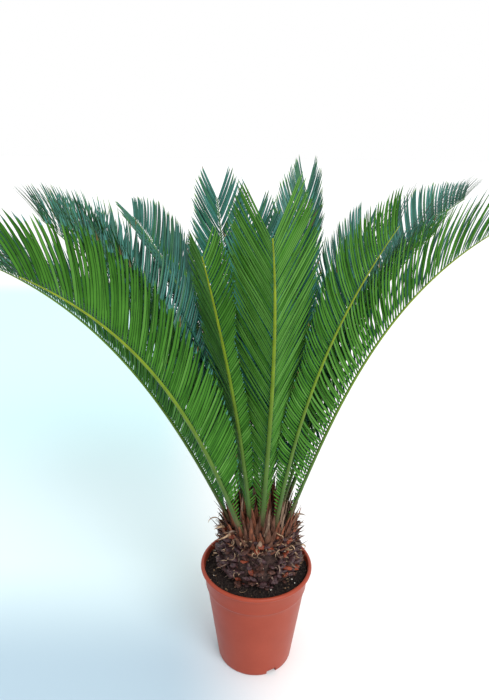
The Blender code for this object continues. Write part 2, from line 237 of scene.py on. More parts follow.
studio = {
    "floorSize": 60.0,
    "floorWhite": (0.93, 0.93, 0.93),
    # the shade, pale and cool floor colours are tones of a painted blue shadow on the floor left of the
    # plant
    "floorShadowCool": (0.62, 0.85, 0.88),
    "floorShadowPale": (0.74, 0.90, 0.94),
    "floorShade": (0.44, 0.58, 0.68),
    "floorRoughness": 0.8,
    "shadeToPale": (-0.06, 0.22),  # where along Y each floor colour gives way to the next
    "paleToCool": (0.30, 0.90),
    "coolToWhite": (2.4, 3.0),
    "shadowSlant": 0.17,  # the painted shadow's edge runs away to the left
    "shadowEdge": (0.07, -0.15),
    "shadowNear": (-0.80, -0.14),  # where the painted shadow fades in towards the camera and far out to the left
    "shadowLeft": (-3.2, -1.6),
    "skyStrength": 1.0,
    "lampPlace": (0.9, -1.5, 1.9),
    "lampAim": (0.0, 0.0, 0.35),
    "sunStrength": 1.3,
    "sunSpread": 35.0,
    "keyPower": 9.0,
    "keySize": 1.0,
}


def floorMaterial(values):
    white, roughness = values["floorWhite"], values["floorRoughness"]
    material, nodes, links, shader = newMaterial("paleFloor", white, roughness)
    place = addPlace(nodes, links)

    def fade(source, name):
        return addSpread(nodes, links, source, values[name], kind="SMOOTHSTEP")

    # the painted shadow's tones run from shade through pale and cool to white along Y
    colour = values["floorShade"]
    for name, nextColour in (("shadeToPale", "floorShadowPale"), ("paleToCool", "floorShadowCool"),
                             ("coolToWhite", "floorWhite")):
        colour = addBlend(nodes, links, fade(place["Y"], name), colour, values[nextColour])
    # the painted shadow is laid only inside a patch left of the plant; elsewhere the floor is plain white
    slant = addMath(nodes, links, "MULTIPLY_ADD", place["Y"], values["shadowSlant"], place["X"])
    shadowPatch = fade(slant, "shadowEdge")
    shadowPatch = addMath(nodes, links, "MULTIPLY", shadowPatch, fade(place["Y"], "shadowNear"))
    shadowPatch = addMath(nodes, links, "MULTIPLY", shadowPatch, fade(place["X"], "shadowLeft"))
    links.new(addBlend(nodes, links, shadowPatch, white, colour), shader.inputs["Base Color"])
    return material


def makeStudio(values):
    bpy.context.scene.view_settings.view_transform = "Standard"
    size = values["floorSize"]
    corners = [(-size, -size, 0), (size, -size, 0), (size, size, 0), (-size, size, 0)]
    makeMesh("floor", corners, [(0, 1, 2, 3)], [floorMaterial(values)])
    world = bpy.data.worlds.new("studioWorld")
    world.use_nodes = True
    sky = world.node_tree.nodes["Background"]
    sky.inputs["Color"].default_value = (1.0, 1.0, 1.0, 1.0)
    sky.inputs["Strength"].default_value = values["skyStrength"]
    bpy.context.scene.world = world
    sun = bpy.data.lights.new("softSun", "SUN")
    sun.energy = values["sunStrength"]
    sun.angle = math.radians(values["sunSpread"])
    keyLamp = bpy.data.lights.new("keyLamp", "AREA")
    keyLamp.size = values["keySize"]
    keyLamp.energy = values["keyPower"]
    for data in (sun, keyLamp):
        lamp = linkObject(data.name, data)
        lamp.location = values["lampPlace"]
        aim = Vector(values["lampAim"]) - lamp.location
        lamp.rotation_euler = aim.to_track_quat("-Z", "Y").to_euler()


makeCamera(cameraView)
makeStudio(studio)
print("camera, floor and light made")


pot = {
    "height": 0.166,
    "rimRadius": 0.085,
    "lipRoll": 0.0034,  # radius of the rolled lip
    "collarDepth": 0.036,
    "collarTop": 0.0812,
    "collarLow": 0.0772,
    "wallTop": 0.0752,
    "footRadius": 0.0578,
    "wall": 0.0017,
    "floor": 0.003,
    "footRound": 0.003,
    "steps": 192,
    "notchWidth": 0.016,
    "notchHeight": 0.0090,
    "notchDepth": 0.012,
    "notchRound": 0.0010,
    "notchAzimuths": (296.0, 56.0, 176.0),
    "clay": (0.328, 0.052, 0.025),
    "clayDark": (0.296, 0.045, 0.021),
    "dust": (0.42, 0.15, 0.11),
    "dustAmount": (0.66, 0.80),  # the scuffs between these show dust
    "roughness": (0.33, 0.50),
    "shine": 0.27,
    "mottleScale": 26.0,
    "scuffScale": 160.0,
    "sheenScale": 45.0,
    "grainScale": 420.0,
}


def potMaterial(values):
    material, nodes, links, shader = newMaterial("terracottaPlastic", values["clay"], 0.40, values["shine"])
    mottle = addNoise(nodes, links, values["mottleScale"], 4.0)
    body = addRamp(nodes, links, mottle, [(0.35, values["clayDark"]), (0.68, values["clay"])])
    scuff = addNoise(nodes, links, values["scuffScale"], 6.0, (1.0, 1.0, 3.5), 0.7)
    marks = addSpread(nodes, links, scuff, values["dustAmount"])
    links.new(addBlend(nodes, links, marks, body, values["dust"]), shader.inputs["Base Color"])
    sheen = addNoise(nodes, links, values["sheenScale"], 3.0)
    links.new(addSpread(nodes, links, sheen, (0.0, 1.0), values["roughness"]), shader.inputs["Roughness"])
    addBump(nodes, links, shader, addNoise(nodes, links, values["grainScale"], 2.0), 0.12, 0.0003)
    return material


def potProfile(values):
    top = values["height"]
    roll = values["lipRoll"]
    middle = values["rimRadius"] - roll
    depth = values["collarDepth"]
    collarLow = top - depth
    foot, footRound = values["footRadius"], values["footRound"]
    wallTop, lowRadius, topRadius = values["wallTop"], values["collarLow"], values["collarTop"]
    profile = [(0.0, 0.0), (foot - footRound, 0.0)]
    for turn in range(5):  # rounded edge between underside and wall
        angle = math.radians(-90.0 + 20.0 * turn)
        profile.append((foot - footRound + footRound * math.cos(angle) * 0.98,
                        footRound + footRound * math.sin(angle)))
    for share in np.linspace(0.04, 1.0, 26):
        profile.append((foot + (wallTop - foot) * share, 0.003 + (collarLow - 0.0045) * share))
    for share in np.linspace(0.0, 1.0, 6):  # soft step out to the stacking collar
        ease = share * share * (3.0 - 2.0 * share)
        profile.append((wallTop + 0.0002 + (lowRadius - wallTop) * ease, collarLow - 0.001 + 0.004 * share))
    for share in np.linspace(0.15, 1.0, 8):
        profile.append((lowRadius + (topRadius - lowRadius) * share ** 1.3,
                        collarLow + 0.003 + (depth - 2.0 * roll - 0.003) * share))
    for turn in range(11):  # rolled lip
        angle = math.radians(-70.0 + 16.0 * turn)
        profile.append((middle + roll * math.cos(angle), top - roll + roll * math.sin(angle)))
    inner = topRadius - values["wall"]
    profile.append((inner + 0.0008, top - 0.0004))
    profile.append((inner, top - 0.0018))
    for share in np.linspace(0.1, 1.0, 8):
        profile.append((inner - (inner - wallTop + values["wall"]) * share,
                        top - 0.0018 - (depth - 0.0018) * share))
    profile.append((foot - values["wall"], values["floor"]))
    profile.append((0.0, values["floor"]))
    return profile


def notchCutter(values, azimuth):
    width, height, depth = values["notchWidth"], values["notchHeight"], values["notchDepth"]
    block = bmesh.new()
    bmesh.ops.create_cube(block, size=1.0)
    bmesh.ops.scale(block, vec=(depth, width, 2.0 * height), verts=block.verts)
    inward = [edge for edge in block.edges if abs(edge.verts[0].co.x - edge.verts[1].co.x) > 0.9 * depth]
    bmesh.ops.bevel(block, geom=inward, offset=values["notchRound"], segments=2, affect="EDGES")
    mesh = bpy.data.meshes.new("notchCutter")
    block.to_mesh(mesh)
    block.free()
    cutter = linkObject("notchCutter", mesh)
    angle = math.radians(azimuth)
    foot = values["footRadius"]
    cutter.location = (foot * math.cos(angle), foot * math.sin(angle), 0.0)
    cutter.rotation_euler = (0.0, 0.0, angle)
    return cutter


def makePot(values):
    mesh = bpy.data.meshes.new("nurseryPot")
    shape = bmesh.new()
    line = [shape.verts.new((radius, 0.0, height)) for radius, height in potProfile(values)]
    edges = [shape.edges.new(pair) for pair in zip(line, line[1:])]
    bmesh.ops.spin(shape, geom=line + edges, cent=(0, 0, 0), axis=(0, 0, 1), angle=2.0 * math.pi,
                   steps=values["steps"], use_merge=True)
    bmesh.ops.remove_doubles(shape, verts=shape.verts, dist=0.00003)
    bmesh.ops.recalc_face_normals(shape, faces=shape.faces)
    shape.to_mesh(mesh)
    shape.free()
    mesh.materials.append(potMaterial(values))
    mesh.shade_smooth()
    obj = linkObject("nurseryPot", mesh)
    for azimuth in values["notchAzimuths"]:
        cutter = notchCutter(values, azimuth)
        cut = obj.modifiers.new("notch", "BOOLEAN")
        cut.operation = "DIFFERENCE"
        cut.object = cutter
        bpy.context.view_layer.update()
        result = bpy.data.meshes.new_from_object(obj.evaluated_get(bpy.context.evaluated_depsgraph_get()))
        obj.modifiers.clear()
        obj.data = result
        bpy.data.objects.remove(cutter)
    obj.data.set_sharp_from_angle(angle=math.radians(40.0))
    placePiece(obj, "pot_plastic", "pot")


makePot(pot)
print("pot made")


soil = {
    "level": 0.157,
    "radius": 0.0785,
    "mound": 0.004,  # rise towards the trunk
    "moundFoot": 0.045,  # the rise runs out over moundFade from this radius
    "moundFade": 0.03,
    "roughScale": 70.0,
    "roughHeight": 0.0016,
    "openShare": 0.45,  # the trunk hides the middle
    "rings": 44,
    "around": 144,
    "skirt": (0.072, 0.120),  # radius and height of the hidden underside
    "crumbs": 1500,
    "crumbSizes": (0.0006, 0.0008, 0.0010, 0.0013, 0.0018),
    "chips": 70,
    "chipSizes": (0.0008, 0.0022),
    "whiteBits": 16,
    "whiteSizes": (0.0009, 0.0017),
    "seed": 4,
    "finishes": {
        "wetPeat": ((0.007, 0.005, 0.005), (0.028, 0.018, 0.016), 320.0, 0.9, 0.8, 0.0012, (1, 1, 1), 0.15),
        "peatCrumb": ((0.008, 0.006, 0.005), (0.050, 0.034, 0.027), 260.0, 0.85, 0.6),
        "barkChip": ((0.10, 0.055, 0.03), (0.32, 0.20, 0.11), 220.0, 0.8, 0.5),
        "whiteGrit": ((0.55, 0.50, 0.42), (0.85, 0.82, 0.74), 300.0, 0.7, 0.3),
    },
}


def lumpShape(centre, size, rng, squash=1.0):
    # A small rough lump: a cube's corners pushed onto a ball and shaken
    points = []
    faces = [(0, 1, 3, 2), (4, 6, 7, 5), (0, 4, 5, 1), (2, 3, 7, 6), (0, 2, 6, 4), (1, 5, 7, 3)]
    quarter = rng.uniform(0, 6.28)
    axle = Vector((rng.uniform(-1, 1), rng.uniform(-1, 1), 0.3)).normalized()
    turn = Matrix.Rotation(quarter, 3, axle)
    for corner in range(8):
        place = Vector((corner & 1, corner >> 1 & 1, corner >> 2 & 1)) * 2.0 - Vector((1, 1, 1))
        place = turn @ (place * 0.58 * rng.uniform(0.7, 1.25))
        points.append((centre[0] + place.x * size, centre[1] + place.y * size,
                       centre[2] + place.z * size * squash))
    return points, faces


def soilHeight(x, y):
    reach = math.hypot(x, y)
    rise = soil["mound"]
    if reach > soil["moundFoot"]:
        rise *= max(0.0, 1.0 - (reach - soil["moundFoot"]) / soil["moundFade"])
    scale = soil["roughScale"]
    rough = noise.fractal(Vector((x * scale, y * scale, 2.0)), 0.7, 2.1, 4)
    return soil["level"] + rise + soil["roughHeight"] * rough


def scatterLump(bunch, values, rng, inner, outer, lift, sizes, kind, squash=1.0, edge=0.0):
    reach = math.sqrt(rng.uniform(inner, outer)) * (values["radius"] - edge)
    angle = rng.uniform(0, 2.0 * math.pi)
    x, y = reach * math.cos(angle), reach * math.sin(angle)
    size = rng.choice(sizes) if len(sizes) > 2 else rng.uniform(*sizes)
    addShape(bunch, lumpShape((x, y, soilHeight(x, y) + lift * size), size, rng, squash), kind)


def makeSoil(values):
    rng = random.Random(values["seed"])
    peat, crumbPeat, bark, grit = speckledMaterials(values["finishes"])
    rings, around = values["rings"], values["around"]
    points = []
    for ring in range(rings):
        share = values["openShare"] + (1.0 - values["openShare"]) * ring / (rings - 1)
        radius = values["radius"] * share
        for step in range(around):
            angle = 2.0 * math.pi * step / around
            x, y = radius * math.cos(angle), radius * math.sin(angle)
            points.append((x, y, soilHeight(x, y)))
    low, under = values["skirt"]
    for step in range(around):  # skirt down inside the pot
        angle = 2.0 * math.pi * step / around
        points.append((low * math.cos(angle), low * math.sin(angle), under))
    placePiece(makeMesh("pottingSoil", points, ringFaces(rings + 1, around), [peat]), "soil", "soil")
    crumbs = newBunch()
    for _ in range(values["crumbs"]):
        scatterLump(crumbs, values, rng, 0.36, 1.0, 0.3, values["crumbSizes"], 0, edge=0.0008)
    placePiece(bunchPiece("soilCrumbs", crumbs, [crumbPeat]), "soil")
    bits = newBunch()
    for kind, count, sizes in ((0, values["chips"], values["chipSizes"]),
                               (1, values["whiteBits"], values["whiteSizes"])):
        for _ in range(count):
            scatterLump(bits, values, rng, 0.42, 0.97, 0.8, sizes, kind, squash=0.6)
    placePiece(bunchPiece("barkAndGrit", bits, [bark, grit]), "soil")


makeSoil(soil)
print("soil made")


trunk = {
    "outline": ((0.150, 0.044), (0.157, 0.0480), (0.166, 0.0575), (0.178, 0.0600), (0.198, 0.0580),
                (0.215, 0.0545), (0.232, 0.0515), (0.244, 0.043), (0.252, 0.030), (0.256, 0.0)),
    "stubs": 270,
    "stubLow": 0.156,
    "stubHigh": 0.240,
    "stubWidth": 0.0062,
    "stubThickness": 0.0035,
    "stubReach": 0.0058,
    "stubTwist": 22.0,
    "flakes": 260,
    "flakeLean": (8.0, 70.0),
    "flakeLength": (0.007, 0.014),
    "flakeWidth": (0.003, 0.007),
    "curls": 330,
    "crownCurls": 36,
    "largeShare": 0.3,
    "smallCurl": ((0.004, 0.011), (0.0006, 0.0014), 1.0),  # length, width and how tightly it curls
    "largeCurl": ((0.010, 0.022), (0.0014, 0.0028), 1.4),
    "crownCurl": ((0.015, 0.028), (0.0022, 0.0040), 0.9),
    "offset": 0.004,  # the trunk bulges a little to one side
    "seed": 11,
    "goldenTurn": 137.508,
    "redShare": (0.07, 0.34),  # of the lower and of the uppermost stubs
    "finishes": {
        "trunkCore": ((0.018, 0.010, 0.009), (0.060, 0.032, 0.026), 240.0, 0.85, 0.8, 0.0015),
        "stubPurple": ((0.022, 0.009, 0.011), (0.090, 0.040, 0.044), 260.0, 0.46, 0.9, 0.0012,
                       (1, 1, 1), 0.45),
        "stubBrown": ((0.030, 0.012, 0.010), (0.120, 0.050, 0.036), 240.0, 0.55, 0.9, 0.0012),
        "stubRed": ((0.080, 0.016, 0.009), (0.32, 0.064, 0.025), 220.0, 0.45, 0.7, 0.0010),
        "dryCurlTan": ((0.20, 0.12, 0.07), (0.50, 0.35, 0.22), 160.0, 0.75, 0.4),
        "dryCurlGrey": ((0.10, 0.065, 0.05), (0.26, 0.18, 0.14), 160.0, 0.8, 0.4),
    },
}


def trunkRadius(height):
    return float(np.interp(height, *zip(*trunk["outline"])))


def stubShape(azimuth, height, values, rng, grow):
    # A broken-off leaf base: a flattened prism with a jagged, slightly hollow end
    out = radial(azimuth)
    side = sideways(out)
    rise = math.radians(rng.uniform(-8.0, 52.0))
    ahead = (out * math.cos(rise) + Vector((0, 0, 1)) * math.sin(rise)).normalized()
    side = Matrix.Rotation(math.radians(rng.gauss(0.0, values["stubTwist"])), 3, ahead) @ side
    over = side.cross(ahead).normalized()
    start = out * (trunkRadius(height) - 0.005) + Vector((0, 0, height))
    around = 12
    sections = ((0.0, 1.05), (0.40, 1.12), (0.75, 1.0), (0.94, 0.84), (1.0, 0.62), (0.93, 0.25))
    reach = (values["stubReach"] * rng.uniform(0.6, 1.3) + 0.005) * grow
    skew = rng.uniform(-0.35, 0.35)
    wideness = values["stubWidth"] * rng.uniform(0.6, 1.15) * grow
    thickness = values["stubThickness"] * rng.uniform(0.65, 1.2) * grow
    jagged = [rng.uniform(-0.10, 0.12) for _ in range(around)]
    points = []
    for share, scale in sections:
        for step in range(around):
            angle = 2.0 * math.pi * step / around
            wide = math.copysign(abs(math.cos(angle)) ** 1.1, math.cos(angle))
            tall = math.copysign(abs(math.sin(angle)) ** 0.9, math.sin(angle)) * (1.0 if step < 6 else 0.6)
            shake = 1.0 + rng.uniform(-0.13, 0.13)
            place = start + ahead * reach * share * (1.0 + jagged[step] * share)
            place = place + side * (wide * wideness * scale * shake + skew * reach * share)
            place = place + over * tall * thickness * scale * shake
            points.append(tuple(place))
    return points, ringFaces(len(sections), around)


def ribbonShape(start, ahead, over, length, width, rng, curl, segments=7):
    # A dry curled strip with a slight fold along its middle
    points, faces, edges = [], [], []
    place, ahead, over = start, ahead.normalized(), over.normalized()
    side = ahead.cross(over).normalized()
    bend = Matrix.Rotation(math.radians(rng.uniform(8.0, 26.0) * curl), 3, side)
    twist = math.radians(rng.uniform(-16.0, 16.0) * curl)
    for step in range(segments + 1):
        share = step / segments
        half = 0.5 * width * (1.0 - share ** 2.2) + 0.00008
        points.append(tuple(place + side * half))
        points.append(tuple(place + over * 0.25 * half))
        points.append(tuple(place - side * half))
        edges += [True, False, True]
        place = place + ahead * (length / segments)
        ahead = (bend @ ahead).normalized()
        turn = Matrix.Rotation(twist, 3, ahead)
        side = (turn @ (bend @ side)).normalized()
        over = side.cross(ahead).normalized()
    for step in range(segments):
        low = 3 * step
        faces.append((low, low + 1, low + 4, low + 3))
        faces.append((low + 1, low + 2, low + 5, low + 4))
    return points, faces, edges


def pickKind(draw, *limits):
    # The first kind whose limit the draw lies under, or else kind 0
    return next((kind for kind, limit in limits if draw < limit), 0)


def stubHeight(values, share, extra=0.0):
    return values["stubLow"] + (values["stubHigh"] + extra - values["stubLow"]) * share


def trunkBody(values):
    rings, around = 60, 120
    low, high = values["outline"][0][0], values["outline"][-1][0]
    points = []
    for height in np.linspace(low, high - 0.0005, rings):
        for step in range(around):
            angle = 2.0 * math.pi * step / around
            spot = Vector((math.cos(angle) * 4.0, math.sin(angle) * 4.0, height * 70.0))
            rough = noise.fractal(spot, 0.6, 2.0, 4)
            radius = max(0.001, trunkRadius(height) - 0.003 + 0.0022 * rough)
            points.append((radius * math.cos(angle) + values["offset"], radius * math.sin(angle), height))
    return points, ringFaces(rings, around)


def stubBunch(values, rng):
    stubs = newBunch()
    for index in range(values["stubs"]):
        azimuth = math.radians(index * values["goldenTurn"]) + rng.gauss(0.0, 0.10)
        share = index / (values["stubs"] - 1)
        height = stubHeight(values, share) + rng.gauss(0.0, 0.0026)
        kind = pickKind(rng.random(), (2, values["redShare"][share > 0.70]), (1, 0.45))
        addShape(stubs, stubShape(azimuth, height, values, rng, rng.uniform(0.8, 1.12)), kind)
    return stubs


def flakeBunch(values, rng):
    flakes = newBunch()
    for _ in range(values["flakes"]):
        azimuth = rng.uniform(0.0, 2.0 * math.pi)
        height = stubHeight(values, rng.random() ** 0.8)
        radius = trunkRadius(height) + rng.uniform(-0.004, 0.001)
        sizes = [rng.uniform(*values[name]) for name in ("flakeLean", "flakeLength", "flakeWidth")]
        flake = scaleLeafShape(azimuth, radius, height, *sizes, rng)
        addShape(flakes, flake, pickKind(rng.random(), (2, 0.12), (1, 0.5)))
    return flakes


def curlSize(size, rng):
    return rng.uniform(*size[0]), rng.uniform(*size[1])


def curlBunch(values, rng):
    curls = newBunch()
    for _ in range(values["curls"]):
        azimuth = rng.uniform(0.0, 2.0 * math.pi)
        height = stubHeight(values, rng.random() ** 0.6, 0.010)
        out = radial(azimuth)
        start = out * (trunkRadius(height) + rng.uniform(0.002, 0.006)) + Vector((0, 0, height))
        side = sideways(out) * rng.uniform(-0.9, 0.9)
        ahead = out * rng.uniform(0.05, 0.7) + side + Vector((0, 0, rng.uniform(-0.45, 0.9)))
        size = values["largeCurl" if rng.random() < values["largeShare"] else "smallCurl"]
        curl = ribbonShape(start, ahead, out, *curlSize(size, rng), rng, size[2])
        addShape(curls, curl, pickKind(rng.random(), (0, 0.6), (1, 1.0)))
    for _ in range(values["crownCurls"]):
        out = radial(rng.uniform(0.0, 2.0 * math.pi))
        start = out * rng.uniform(0.047, 0.058) + Vector((0, 0, rng.uniform(0.216, 0.246)))
        ahead = out * rng.uniform(0.1, 0.6) + sideways(out) * rng.uniform(-0.8, 0.8)
        ahead = ahead + Vector((0, 0, rng.uniform(-0.2, 1.0)))
        size = values["crownCurl"]
        curl = ribbonShape(start, ahead, out, *curlSize(size, rng), rng, size[2])
        addShape(curls, curl, pickKind(rng.random(), (0, 0.5), (1, 1.0)))
    return curls


def makeTrunk(values):
    rng = random.Random(values["seed"])
    core, purple, brown, red, tan, grey = speckledMaterials(values["finishes"])
    placePiece(makeMesh("trunkCore", *trunkBody(values), [core]), "trunk_scales", "trunk")
    for name, fill, materials in (("leafBaseStubs", stubBunch, [purple, brown, red]),
                                  ("brokenScales", flakeBunch, [purple, brown, red]),
                                  ("dryCurls", curlBunch, [tan, grey])):
        bunch = fill(values, rng)
        shiftBunch(bunch, values["offset"])
        placePiece(bunchPiece(name, bunch, materials), "trunk_scales")


scaleLeaves = {
    "rings": (  # radius, foot height, count, lean outwards in degrees, length
        (0.0540, 0.218, 30, 42.0, 0.020),
        (0.0525, 0.228, 34, 24.0, 0.030),
        (0.0500, 0.234, 38, 14.0, 0.038),
        (0.0440, 0.240, 36, 8.0, 0.044),
        (0.0360, 0.244, 30, 4.0, 0.046),
        (0.0270, 0.246, 24, 0.0, 0.048),
        (0.0180, 0.246, 18, -3.0, 0.050),
        (0.0090, 0.246, 10, -4.0, 0.050),
    ),
    "width": 0.0115,
    "seed": 23,
    "spines": (  # azimuth, foot radius, foot height, length, rise in degrees
        (184, 0.057, 0.2255, 0.031, 47), (172, 0.051, 0.245, 0.029, 44), (196, 0.052, 0.247, 0.024, 50),
        (356, 0.047, 0.242, 0.034, 60), (8, 0.048, 0.217, 0.023, 33), (350, 0.055, 0.200, 0.016, 55),
        (4, 0.057, 0.190, 0.022, 28), (160, 0.058, 0.213, 0.018, 38), (205, 0.058, 0.205, 0.014, 30),
    ),
    "spineForm": (0.0011, 0.12),  # thickness and bend
    "moreSpines": 30,
    "moreHeights": (0.196, 0.262),
    "moreLengths": (0.009, 0.021),
    "moreForm": (0.0008, 0.1),
    "finishes": {
        "scaleBrown": ((0.050, 0.020, 0.013), (0.17, 0.075, 0.045), 260.0, 0.85, 0.8, 0.0008,
                       (1.0, 1.0, 0.18)),
        "scaleTan": ((0.14, 0.085, 0.055), (0.40, 0.27, 0.19), 260.0, 0.85, 0.8, 0.0008,
                     (1.0, 1.0, 0.18)),
        "scaleRust": ((0.085, 0.028, 0.016), (0.25, 0.085, 0.042), 240.0, 0.8, 0.8, 0.0008,
                      (1.0, 1.0, 0.2)),
        "spineDark": ((0.018, 0.020, 0.018), (0.06, 0.055, 0.045), 200.0, 0.45, 0.3),
    },
}


def scaleLeafShape(azimuth, radius, height, lean, length, width, rng):
    # An upright pointed scale, cupped round the stalks and ending in a thin spine
    out = radial(azimuth)
    side = sideways(out)
    points, edges = [], []
    rows = 9
    angle = math.radians(lean + rng.uniform(-6.0, 6.0))
    bend = math.radians(rng.uniform(-4.0, 14.0))
    sway = math.radians(rng.uniform(-7.0, 7.0))
    place = out * radius + Vector((0, 0, height))
    for row in range(rows):
        share = row / (rows - 1)
        half = 0.5 * width * max(0.03, (1.0 - share) ** 0.75) * (1.0 + 0.08 * math.sin(9.0 * share))
        lift = angle + bend * share
        ahead = Vector((0, 0, 1)) * math.cos(lift) + out * math.sin(lift) + side * math.sin(sway)
        cup = 0.35 * half
        points.append(tuple(place + side * half - out * cup))
        points.append(tuple(place + side * half * 0.5 + out * 0.0002))
        points.append(tuple(place + out * (0.0008 + 0.15 * half)))
        points.append(tuple(place - side * half * 0.5 + out * 0.0002))
        points.append(tuple(place - side * half - out * cup))
        edges += [True, False, False, False, True]
        place = place + ahead.normalized() * (length / (rows - 1))
    faces = []
    for row in range(rows - 1):
        for step in range(4):
            low = 5 * row + step
            faces.append((low, low + 1, low + 6, low + 5))
    return points, faces, edges


def spineRay(azimuth, radius, height, rise):
    out = radial(azimuth)
    ahead = out * math.cos(rise) + Vector((0, 0, 1)) * math.sin(rise)
    return out * radius + Vector((0, 0, height)), ahead


def spineShape(start, ahead, length, thick, bend):
    # A hard dark needle of six sides
    points = []
    place, ahead = start, ahead.normalized()
    side = ahead.cross(Vector((0, 0, 1))).normalized()
    sections = ((0.0, 1.0), (0.3, 0.85), (0.6, 0.6), (0.85, 0.32), (1.0, 0.06))
    last = 0.0
    for share, scale in sections:
        place = place + ahead * length * (share - last)
        last = share
        ahead = (Matrix.Rotation(bend * 0.25, 3, side) @ ahead).normalized()
        over = side.cross(ahead).normalized()
        for step in range(6):
            angle = math.pi * step / 3.0
            spoke = side * math.cos(angle) + over * 0.6 * math.sin(angle)
            points.append(tuple(place + spoke * thick * scale))
    return points, ringFaces(len(sections), 6)


def makeScaleLeaves(values):
    rng = random.Random(values["seed"])
    brown, tan, rust, dark = speckledMaterials(values["finishes"])
    scales = newBunch()
    for ring, (radius, height, count, lean, length) in enumerate(values["rings"]):
        for index in range(count):
            azimuth = 2.0 * math.pi * (index + 0.5 * (ring % 2)) / count + rng.uniform(-0.08, 0.08)
            kind = pickKind(rng.random(), (1, 0.22), (2, 0.58))
            scale = scaleLeafShape(
                azimuth, radius + rng.uniform(-0.002, 0.002), height + rng.uniform(-0.003, 0.003), lean,
                length * rng.uniform(0.55, 1.1), values["width"] * rng.uniform(0.6, 1.1), rng)
            addShape(scales, scale, kind)
    shiftBunch(scales, trunk["offset"])
    placePiece(bunchPiece("scaleLeaves", scales, [brown, tan, rust]), "scale_leaves", "scale_leaf_collar")
    spines = newBunch()
    for azimuth, radius, height, length, rise in values["spines"]:
        start, ahead = spineRay(math.radians(azimuth), radius, height, math.radians(rise))
        addShape(spines, spineShape(start, ahead, length, *values["spineForm"]), 0)
    for _ in range(values["moreSpines"]):
        azimuth = rng.uniform(0.0, 2.0 * math.pi)
        height = rng.uniform(*values["moreHeights"])
        start, ahead = spineRay(azimuth, 0.052, height, math.radians(rng.uniform(30.0, 68.0)))
        length = rng.uniform(*values["moreLengths"])
        addShape(spines, spineShape(start, ahead, length, *values["moreForm"]), 0)
    shiftBunch(spines, trunk["offset"])
    placePiece(bunchPiece("scaleSpines", spines, [dark]), "scale_leaves")


makeTrunk(trunk)
print("trunk made")
makeScaleLeaves(scaleLeaves)
print("scale leaves made")


# azimuth: 270 is the front. rise and tip: angle above level at the foot and at the tip. bend: how late
# it arches. foot: distance of its foot from the trunk's axis. sweep and roll: sideways turn and twist.
# leaf: longest leaflet. spread: leaflet angle to the rib at foot and tip. last: last leaflet's share.
# Only where it differs from frondForm: spacing, cover, reach, underTones and stalk, its stalkShare.
# trim: length of the low right and left leaflets, and the share of the blade where they are full again.
fronds = {
    # frond 01's underTones lean to the pale tone as painted light on a frond that sits in shade; frond 05's
    # lean to the deep tone as painted shade
    "01": dict(azimuth=281, rise=78, tip=52, bend=1.5, length=0.490, foot=0.030, sweep=-20, roll=5,
               leaf=0.100, spread=(50, 34), last=0.62, spacing=0.0049, underTones=(0.35, 0.60, 0.05)),
    "02": dict(azimuth=236, rise=65, tip=29, bend=2.0, length=0.545, foot=0.041, sweep=0, roll=20,
               leaf=0.105, spread=(46, 26), last=0.65, trim=(0.75, 1.0, 0.75), cover=1.38,
               underTones=(0.5, 0.18, 0.32)),
    "03": dict(azimuth=314, rise=80, tip=56, bend=1.5, length=0.485, foot=0.036, sweep=0, roll=10,
               leaf=0.085, spread=(46, 26), last=0.55, trim=(1.0, 0.45, 0.75)),
    "04": dict(azimuth=249, rise=77, tip=68, bend=1.0, length=0.440, foot=0.026, sweep=-10, roll=15,
               leaf=0.075, spread=(56, 34), last=0.45, trim=(0.28, 1.0, 0.95), spacing=0.0045),
    "05": dict(azimuth=178, rise=64, tip=15, bend=2.0, length=0.555, foot=0.041, sweep=5, roll=5,
               leaf=0.100, spread=(54, 22), last=0.60, stalk=0.07, spacing=0.0038, cover=1.5,
               underTones=(0.3, 0.05, 0.65)),
    "06": dict(azimuth=354, rise=72, tip=29, bend=2.5, length=0.535, foot=0.044, sweep=-5, roll=-20,
               leaf=0.100, spread=(56, 26), last=0.60, spacing=0.0050),
    "07": dict(azimuth=164, rise=77, tip=37, bend=1.0, length=0.525, foot=0.035, sweep=5, roll=5,
               leaf=0.120, spread=(58, 22), last=0.45, reach=1.14),
    "08": dict(azimuth=26, rise=68, tip=18, bend=2.5, length=0.585, foot=0.041, sweep=10, roll=-15,
               leaf=0.100, spread=(56, 26), last=0.45),
    "09": dict(azimuth=132, rise=82, tip=30, bend=1.0, length=0.525, foot=0.029, sweep=0, roll=-15,
               leaf=0.090, spread=(34, 30), last=0.40),
    "10": dict(azimuth=109, rise=69, tip=67, bend=1.5, length=0.490, foot=0.028, sweep=0, roll=-10,
               leaf=0.100, spread=(54, 32), last=0.52),
    "11": dict(azimuth=65, rise=70, tip=58, bend=1.5, length=0.515, foot=0.030, sweep=15, roll=-10,
               leaf=0.105, spread=(48, 20), last=0.52, cover=1.6),
    "12": dict(azimuth=152, rise=69, tip=32, bend=1.5, length=0.535, foot=0.038, sweep=5, roll=25,
               leaf=0.100, spread=(50, 44), last=0.55),
    "13": dict(azimuth=13, rise=75, tip=38, bend=2.0, length=0.480, foot=0.032, sweep=5, roll=-20,
               leaf=0.080, spread=(46, 18), last=0.55),
    "14": dict(azimuth=48, rise=64, tip=62, bend=1.0, length=0.450, foot=0.037, sweep=0, roll=5,
               leaf=0.095, spread=(54, 20), last=0.55),
    "15": dict(azimuth=92, rise=74, tip=64, bend=1.0, length=0.445, foot=0.024, sweep=5, roll=0,
               leaf=0.105, spread=(56, 28), last=0.55, cover=1.6),
    "16": dict(azimuth=80, rise=62, tip=22, bend=1.5, length=0.480, foot=0.044, sweep=0, roll=0,
               leaf=0.095, spread=(54, 24), last=0.55),
    "17": dict(azimuth=118, rise=63, tip=24, bend=1.5, length=0.490, foot=0.044, sweep=0, roll=0,
               leaf=0.095, spread=(54, 24), last=0.55),
}

